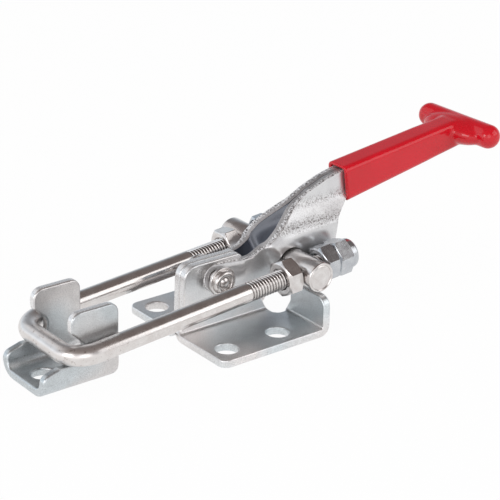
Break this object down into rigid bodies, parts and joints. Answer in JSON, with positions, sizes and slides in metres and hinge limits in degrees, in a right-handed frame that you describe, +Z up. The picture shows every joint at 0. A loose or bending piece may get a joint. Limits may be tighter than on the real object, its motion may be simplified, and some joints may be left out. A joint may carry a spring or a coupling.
{
  "type": "over centre toggle latch",
  "caption": "Horizontal pull action toggle latch: a red-gripped hand lever on a flanged base draws a U-bolt into a hooked latch plate.",
  "frame": {"origin": "centre of the base's four-hole bolt pattern, on the mounting face", "axes": "+X from the latch plate towards the handle's cross grip, +Y across the latch to the far rod, +Z up from the mounting face"},
  "size_m": [0.1645, 0.0474, 0.0477],
  "materials": {
    "zinc_sheet": "satin zinc plating over pressed steel sheet",
    "bright_steel": "bright zinc plating on turned steel",
    "red_sleeve": "glossy dipped red plastic",
    "ring_plastic": "plain natural plastic"
  },
  "bodies": {
    "base": {"base_bracket_near": "zinc_sheet", "base_bracket_far": "zinc_sheet", "latch_plate": "zinc_sheet", "pivot_rivet": "bright_steel", "pivot_washer_near": "bright_steel", "pivot_washer_far": "bright_steel"},
    "handle": {"handle_plate_near": "zinc_sheet", "handle_plate_far": "zinc_sheet", "grip": "red_sleeve"},
    "draw_bolt": {"trunnion_near": "bright_steel", "trunnion_far": "bright_steel", "u_bolt": "bright_steel", "front_nut_near": "bright_steel", "front_nut_far": "bright_steel", "rear_nut_near": "bright_steel", "rear_nut_far": "bright_steel", "lock_nut_near": "bright_steel", "lock_nut_far": "bright_steel", "lock_ring_near": "ring_plastic", "lock_ring_far": "ring_plastic"}
  },
  "joints": [
    {"name": "handle_swing", "type": "hinge", "parent": "base", "child": "handle", "pos_m": [-0.0024, 0, 0.0173], "axis": [0, -1, 0], "range_deg": [0, 90]},
    {"name": "draw_bolt_swing", "type": "hinge", "parent": "handle", "child": "draw_bolt", "pos_m": [0.0215, 0, 0.018], "axis": [0, -1, 0], "range_deg": [-70.5, 0]}
  ],
  "couplings": [
    {"joint": "draw_bolt_swing", "follows": "handle_swing", "ratio": -0.78}
  ]
}
